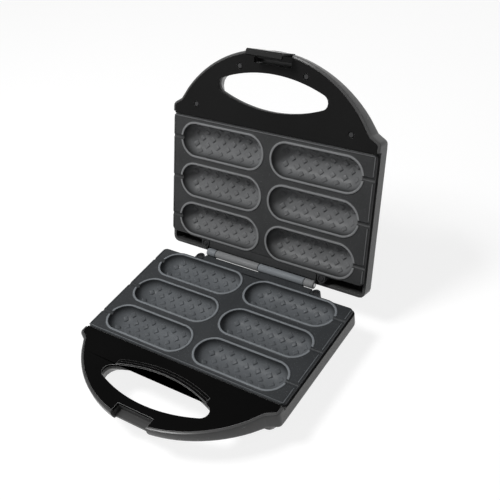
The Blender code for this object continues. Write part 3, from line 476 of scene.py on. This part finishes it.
# Cooking plates: one casting drawn once and used for both halves
casting = {
    "width": 0.220, "depth": 0.122, "corner": 0.0045, "hingeOffset": 0.012, "face": 0.0011, "under": 0.0041,
    "edgeRound": 0.0007, "edgeSteps": 4, "cornerSteps": 8, "rowPitch": 0.0408, "rowMiddle": 0.059,
    "columnMiddle": 0.05175, "cavityLength": 0.0925, "cavityWidth": 0.031, "cavityDepth": 0.013,
    "wall": 0.0024, "gap": 0.0003, "slotRadius": 0.0024, "slotStart": 0.078, "slotEnd": 0.116,
    "slotRim": 0.0002, "slotSteps": 32, "endSteps": 30, "sideSteps": 12, "bowlSteps": 18, "bowlFloor": 0.6,
    "sharpAngle": 40,
    # the raised rim's section, from the land to the bowl's edge: distance outside the cavity, depth
    "rim": ((0.0034, 0.00110), (0.0029, 0.00108), (0.0026, 0.00098), (0.0024, 0.00080), (0.0022, 0.00056),
            (0.0020, 0.00040), (0.0017, 0.00032), (0.0013, 0.00030), (0.0008, 0.00030), (0.0005, 0.00034),
            (0.00025, 0.00045), (0.00008, 0.00063), (0.0, 0.00085)),
}


def cavitySpots():
    for row in (-1, 0, 1):
        for side in (-1, 1):
            reach = casting["rowMiddle"] + row * casting["rowPitch"]
            yield side * casting["columnMiddle"], -(casting["hingeOffset"] + reach), side


def stadiumRing(x, y, radius, level):
    run = (casting["cavityLength"] - casting["cavityWidth"]) / 2
    ring = []
    for side in (1, -1):
        for i in range(casting["endSteps"] + 1):
            angle = math.pi * i / casting["endSteps"] - math.pi / 2
            along = run + radius * math.cos(angle)
            ring.append((x + side * along, y + side * radius * math.sin(angle), -level))
        for i in range(1, casting["sideSteps"]):
            along = run - 2 * run * i / casting["sideSteps"]
            ring.append((x + side * along, y + side * radius, -level))
    return ring


def bowlRings(x, y, outset, start):
    half = casting["cavityWidth"] / 2 + outset
    depth = casting["cavityDepth"] + outset
    first = math.acos(max(start - casting["gap"], 0) / depth)
    rings = []
    for i in range(casting["bowlSteps"]):
        angle = first * (1 - i / (casting["bowlSteps"] - casting["bowlFloor"]))
        rings.append(stadiumRing(x, y, half * math.sin(angle), casting["gap"] + depth * math.cos(angle)))
    return rings


def plateRing(inset, level):
    halfWidth = casting["width"] / 2
    middle = -(casting["hingeOffset"] + casting["depth"] / 2)
    halfDepth = casting["depth"] / 2
    radius, steps = casting["corner"], casting["cornerSteps"]
    ring = []
    for turn, (sx, sy) in enumerate(((1, 1), (-1, 1), (-1, -1), (1, -1))):
        for i in range(steps + 1):
            angle = math.pi / 2 * (turn + i / steps)
            ring.append((sx * (halfWidth - radius) + (radius - inset) * math.cos(angle),
                         middle + sy * (halfDepth - radius) + (radius - inset) * math.sin(angle), -level))
    return ring


def plateBody():
    bm = bmesh.new()
    face, under, rounding = casting["face"], casting["under"], casting["edgeRound"]
    rings = []
    for i in range(casting["edgeSteps"] + 1):
        angle = math.pi / 2 / casting["edgeSteps"] * i
        rings.append(plateRing(rounding * (1 - math.sin(angle)), face + rounding * (1 - math.cos(angle))))
    outside = bridge(bm, rings + [plateRing(0, under)])
    tops, bottoms = [], []
    for x, y, _ in cavitySpots():
        half = casting["cavityWidth"] / 2
        rings = [stadiumRing(x, y, half + outset, level) for outset, level in casting["rim"]]
        rows = bridge(bm, rings + bowlRings(x, y, 0, casting["rim"][-1][1])[1:])
        bm.faces.new(rows[-1])
        tops.append(rows[0])
        rows = bridge(bm, bowlRings(x, y, casting["wall"], under))
        bm.faces.new(rows[-1])
        bottoms.append(rows[0])
    fillBetween(bm, [outside[0]] + tops)
    fillBetween(bm, [outside[-1]] + bottoms)
    return meshOf(bm, "plateBody")


def slotBars():
    # cutters for the half-round slots, each from its cavity out past the plate's side edge
    bars = []
    for _, y, side in cavitySpots():
        bar = roundBar(casting["slotRadius"], side * casting["slotStart"], side * casting["slotEnd"],
                       casting["slotRim"], casting["slotSteps"])
        bar.transform(Matrix.Translation((0, y, 0)))
        bars.append(bar)
    return merged("slots", bars)


def carved(mesh, cutterMesh, name):
    target = bpy.data.objects.new(name, mesh)
    cutter = bpy.data.objects.new("cutter", cutterMesh)
    scene.collection.objects.link(target)
    scene.collection.objects.link(cutter)
    step = target.modifiers.new("cut", "BOOLEAN")
    step.operation = "DIFFERENCE"
    step.solver = "EXACT"
    step.object = cutter
    made = baked(target, name)
    bpy.data.objects.remove(cutter, do_unlink=True)
    return made


studShape = {"foot": 0.0046, "top": 0.0028, "height": 0.0011, "softness": 0.00035, "pitch": 0.0123,
             "counts": (6, 7, 6, 7, 6), "turn": math.tau / 14, "size": 1.0}


def studSpots():
    # where each raised diamond sits in a cavity, and how it is turned to stand square on the wall
    half, depth = casting["cavityWidth"] / 2, casting["cavityDepth"]
    run = (casting["cavityLength"] - casting["cavityWidth"]) / 2
    middleRow = (len(studShape["counts"]) - 1) / 2
    places, turns = [], []
    for row, count in enumerate(studShape["counts"]):
        angle = (row - middleRow) * studShape["turn"]
        for i in range(count):
            x = (i - (count - 1) / 2) * studShape["pitch"]
            beyond = math.copysign(max(abs(x) - run, 0), x)
            shrink = math.sqrt(1 - (beyond / half) ** 2)
            side, drop = half * math.sin(angle) * shrink, depth * math.cos(angle) * shrink
            up = -Vector((beyond / half ** 2, side / half ** 2, -drop / depth ** 2)).normalized()
            along = (Vector((1, 0, 0)) - up * up.x).normalized()
            turn = Matrix((along, up.cross(along), up)).transposed().to_euler()
            for cx, cy, _ in cavitySpots():
                places.append((cx + x, cy + side, -drop - casting["gap"]))
                turns.append(tuple(turn))
    return places, turns


def studTemplate():
    bm = bmesh.new()
    bmesh.ops.create_cone(bm, cap_ends=True, segments=4, radius1=studShape["foot"], radius2=studShape["top"],
                          depth=2 * studShape["height"])
    keep = [edge for edge in bm.edges if max(v.co.z for v in edge.verts) > 0]
    bmesh.ops.bevel(bm, geom=keep, offset=studShape["softness"], segments=2, profile=0.5, affect="EDGES")
    thing = bpy.data.objects.new("studTemplate", meshOf(bm, "studTemplate"))
    scene.collection.objects.link(thing)
    return thing


def studTree():
    tree = bpy.data.node_groups.new("studRows", "GeometryNodeTree")
    for name, kind in (("Geometry", "NodeSocketGeometry"), ("Stud", "NodeSocketObject"),
                       ("Size", "NodeSocketFloat"), ("Finish", "NodeSocketMaterial")):
        tree.interface.new_socket(name, in_out="INPUT", socket_type=kind)
    tree.interface.new_socket("Geometry", in_out="OUTPUT", socket_type="NodeSocketGeometry")
    kinds = {"entry": "NodeGroupInput", "exit": "NodeGroupOutput", "shape": "GeometryNodeObjectInfo",
             "turn": "GeometryNodeInputNamedAttribute", "place": "GeometryNodeInstanceOnPoints",
             "real": "GeometryNodeRealizeInstances", "finish": "GeometryNodeSetMaterial",
             "rotate": "FunctionNodeEulerToRotation"}
    used = {key: tree.nodes.new(kind) for key, kind in kinds.items()}
    used["turn"].data_type = "FLOAT_VECTOR"
    used["turn"].inputs["Name"].default_value = "turn"
    links = (("entry", "Geometry", "place", "Points"), ("entry", "Stud", "shape", "Object"),
             ("shape", "Geometry", "place", "Instance"), ("turn", "Attribute", "rotate", "Euler"),
             ("rotate", "Rotation", "place", "Rotation"), ("entry", "Size", "place", "Scale"),
             ("place", "Instances", "real", "Geometry"), ("real", "Geometry", "finish", "Geometry"),
             ("entry", "Finish", "finish", "Material"), ("finish", "Geometry", "exit", "Geometry"))
    for giver, give, taker, take in links:
        outputs = [s for s in used[giver].outputs if s.name == give and s.enabled]
        tree.links.new(outputs[0], used[taker].inputs[take])
    return tree


def studField(finish):
    places, turns = studSpots()
    points = bpy.data.meshes.new("studPoints")
    points.from_pydata(places, [], [])
    spin = points.attributes.new("turn", "FLOAT_VECTOR", "POINT")
    spin.data.foreach_set("vector", [part for turn in turns for part in turn])
    holder = bpy.data.objects.new("studRows", points)
    scene.collection.objects.link(holder)
    template = studTemplate()
    step = holder.modifiers.new("studs", "NODES")
    step.node_group = studTree()
    values = {"Stud": template, "Size": studShape["size"], "Finish": finish}
    for item in step.node_group.interface.items_tree:
        if item.in_out == "INPUT" and item.name in values:
            step[item.identifier] = values[item.name]
    mesh = baked(holder, "studField")
    bpy.data.objects.remove(template, do_unlink=True)
    return mesh


hingeShape = {"barrel": 0.0040, "barrelSteps": 48, "holeSteps": 40, "long": 0.0509, "short": 0.0100,
              "gap": 0.0006, "rimRound": 0.0004, "webTop": 0.0019, "overlap": 0.0020, "tabHalf": 0.0621,
              "tabReach": 0.0074, "earPlace": 0.0675, "earBack": 0.0045, "earRadius": 0.0044, "earSteps": 24,
              "seat": 0.0013, "seatRadius": 0.0030, "hole": 0.0018, "softness": 0.0004,
              "seatSoftness": 0.00025, "earSoftness": 0.0001}


def ring2d(x, y, radius):
    steps = hingeShape["holeSteps"]
    return [(x + radius * math.cos(math.tau * i / steps), y + radius * math.sin(math.tau * i / steps))
            for i in range(steps)]


def earOutline(x, y, radius, inner):
    # a round ear with straight sides that run back into the plate
    angles = [math.pi * i / hingeShape["earSteps"] for i in range(hingeShape["earSteps"] + 1)]
    loop = [(x + radius * math.cos(angle), y + radius * math.sin(angle)) for angle in angles]
    return loop + [(x - radius, inner), (x + radius, inner)]


def hingeParts():
    # the rear tab, two screw ears, and one long and one short knuckle with the webs that carry them
    shape, under, face = hingeShape, casting["under"], casting["face"]
    rear = -casting["hingeOffset"]
    inner, tabEnd, half = rear - shape["overlap"], rear + shape["tabReach"], shape["tabHalf"]
    tab = [(-half, inner), (half, inner), (half, tabEnd), (-half, tabEnd)]
    made = [flatPiece([tab], -under, -face, shape["softness"])]
    for side in (-1, 1):
        x, y = side * shape["earPlace"], rear + shape["earBack"]
        outline = earOutline(x, y, shape["earRadius"], inner)
        seat = -face - shape["seat"]
        counterbore, hole = ring2d(x, y, shape["seatRadius"]), ring2d(x, y, shape["hole"])
        made.append(flatPiece([outline, counterbore], seat, -face, shape["seatSoftness"]))
        made.append(flatPiece([outline, hole], -under, seat, shape["earSoftness"]))
    first = shape["gap"] / 2
    shortStart = first + shape["long"] + shape["gap"]
    for start, end in ((first, first + shape["long"]), (-shortStart - shape["short"], -shortStart)):
        made.append(roundBar(shape["barrel"], start, end, shape["rimRound"], shape["barrelSteps"]))
        web = [(start, inner), (end, inner), (end, 0), (start, 0)]
        made.append(flatPiece([web], -under, -shape["webTop"], shape["softness"]))
    return made


bead = {"inset": 0.0014, "radius": 0.0006, "rimRound": 0.0002, "steps": 16, "slotRoom": 0.0030,
        "start": 0.0030}


def edgeBead():
    # the thin raised line round a plate's front and sides, broken by the stick slots
    half, reach = casting["width"] / 2 - bead["inset"], casting["depth"] - bead["inset"]
    stops = [bead["start"]]
    for row in (-1, 0, 1):
        middle = casting["rowMiddle"] + row * casting["rowPitch"]
        stops += [middle - bead["slotRoom"], middle + bead["slotRoom"]]
    stops.append(reach)
    lift = Matrix.Translation((0, -casting["hingeOffset"], -casting["face"]))
    front = roundBar(bead["radius"], -half, half, bead["rimRound"], bead["steps"])
    front.transform(lift @ Matrix.Translation((0, -reach, 0)))
    made = [front]
    for side in (-1, 1):
        for start, end in zip(stops[::2], stops[1::2]):
            bar = roundBar(bead["radius"], start, end, bead["rimRound"], bead["steps"])
            aside = Matrix.Translation((side * half, 0, 0)) @ Matrix.Rotation(-math.pi / 2, 4, "Z")
            bar.transform(lift @ aside)
            made.append(bar)
    return made


plateMesh = carved(plateBody(), slotBars(), "plateBody")
print("plate carved:", len(plateMesh.polygons), "faces")
for name, place, body, finish, node in (
        ("lowerCasting", basePlace, "base", finishes["coat"], "lower_plate"),
        ("upperCasting", lidPlace, "lid", finishes["lidCoat"], "upper_plate")):
    whole = merged(name, [plateMesh, studField(finish)] + edgeBead() + hingeParts())
    smoothBy(whole, casting["sharpAngle"])
    depths = whole.attributes.new("depth", "FLOAT", "POINT")
    depths.data.foreach_set("value", [-vertex.co.z for vertex in whole.vertices])
    pieceFrom(whole, name, place, body, finish, node)
print("cooking plates made")


# Floor, light and camera
view = {"azimuth": 41.69, "elevation": 40.01, "roll": -12.16, "lens": 58.12, "sensor": 36,
        "shift": (0.0148, 0.0284), "nearest": 0.01, "fromHinge": (0.38665, -0.45726, 0.51129)}
# floorGlow is the share of a white glow in what the floor shows; the rest is lit, and keeps the shadow.
# A lamp is (place, target, size, power, spread in degrees).
studio = {"ambient": 0.07, "background": 1.0, "floorSize": 4.0, "floor": 0.80, "floorRough": 0.9,
          "floorGlow": 0.65, "glowStrength": 1.28,
          "lamps": {"topLight": ((-0.42, -0.42, 1.30), (0, 0.0, 0.10), 0.34, 13.5, 180),
                    "frontLight": ((-1.1, -1.2, 0.75), (0, 0, 0.10), 1.0, 3.0, 180),
                    "sideLight": ((1.5, 0.10, 0.55), (0, 0, 0.10), 0.8, 2.2, 180)}}


def aimedAt(place, target):
    turn = (Vector(target) - Vector(place)).to_track_quat("-Z", "Y").to_matrix().to_4x4()
    return Matrix.Translation(place) @ turn


def addLamp(name, place, target, size, power, spread):
    lamp = bpy.data.lights.new(name, "AREA")
    lamp.size = size
    lamp.energy = power
    lamp.spread = math.radians(spread)
    holder = bpy.data.objects.new(name, lamp)
    holder.matrix_world = aimedAt(place, target)
    scene.collection.objects.link(holder)


def addFloor():
    bm = bmesh.new()
    bmesh.ops.create_grid(bm, x_segments=1, y_segments=1, size=studio["floorSize"])
    mesh = bpy.data.meshes.new("floor")
    bm.to_mesh(mesh)
    bm.free()
    floor = bpy.data.objects.new("floor", mesh)
    scene.collection.objects.link(floor)
    paper = bpy.data.materials.new("palePaper")
    paper.use_nodes = True
    tree = paper.node_tree
    surface = tree.nodes["Principled BSDF"]
    surface.inputs["Base Color"].default_value = grey(studio["floor"])
    surface.inputs["Roughness"].default_value = studio["floorRough"]
    glow = tree.nodes.new("ShaderNodeEmission")
    glow.inputs["Strength"].default_value = studio["glowStrength"]
    mix = tree.nodes.new("ShaderNodeMixShader")
    seen = seenRays(tree)
    share = tree.nodes.new("ShaderNodeMath")
    share.operation = "MULTIPLY"
    share.inputs[1].default_value = studio["floorGlow"]
    tree.links.new(seen, share.inputs[0])
    tree.links.new(share.outputs[0], mix.inputs[0])
    tree.links.new(surface.outputs[0], mix.inputs[1])
    tree.links.new(glow.outputs[0], mix.inputs[2])
    tree.links.new(mix.outputs[0], tree.nodes["Material Output"].inputs["Surface"])
    mesh.materials.append(paper)


def seenRays(tree):
    # 1 for rays that show the background: seen directly, in gloss or through something clear
    path = tree.nodes.new("ShaderNodeLightPath")
    total = path.outputs["Is Camera Ray"]
    for name in ("Is Glossy Ray", "Is Transmission Ray"):
        add = tree.nodes.new("ShaderNodeMath")
        add.operation = "MAXIMUM"
        tree.links.new(total, add.inputs[0])
        tree.links.new(path.outputs[name], add.inputs[1])
        total = add.outputs[0]
    return total


def addWorld():
    world = bpy.data.worlds.new("studio")
    world.use_nodes = True
    scene.world = world
    tree = world.node_tree
    tree.nodes.clear()
    sky = tree.nodes.new("ShaderNodeBackground")
    strength = tree.nodes.new("ShaderNodeMapRange")
    strength.inputs["To Min"].default_value = studio["ambient"]
    strength.inputs["To Max"].default_value = studio["background"]
    tree.links.new(seenRays(tree), strength.inputs["Value"])
    tree.links.new(strength.outputs[0], sky.inputs["Strength"])
    sky.inputs["Color"].default_value = (1, 1, 1, 1)
    out = tree.nodes.new("ShaderNodeOutputWorld")
    tree.links.new(sky.outputs[0], out.inputs["Surface"])


def addCamera():
    azimuth, elevation, roll = (math.radians(view[key]) for key in ("azimuth", "elevation", "roll"))
    behind = Vector((math.sin(azimuth) * math.cos(elevation), -math.cos(azimuth) * math.cos(elevation),
                     math.sin(elevation)))
    right = Vector((math.cos(azimuth), math.sin(azimuth), 0))
    up = behind.cross(right)
    across = right * math.cos(roll) + up * math.sin(roll)
    upward = up * math.cos(roll) - right * math.sin(roll)
    turn = Matrix((across, upward, behind)).transposed().to_4x4()
    lens = bpy.data.cameras.new("camera")
    lens.lens = view["lens"]
    lens.sensor_width = view["sensor"]
    lens.shift_x, lens.shift_y = view["shift"]
    lens.clip_start = view["nearest"]
    camera = bpy.data.objects.new("camera", lens)
    camera.matrix_world = Matrix.Translation(hingeLine + Vector(view["fromHinge"])) @ turn
    scene.collection.objects.link(camera)
    scene.camera = camera


addFloor()
addWorld()
addCamera()
for name, settings in studio["lamps"].items():
    addLamp(name, *settings)
scene.view_settings.view_transform = "Standard"
print("studio made")
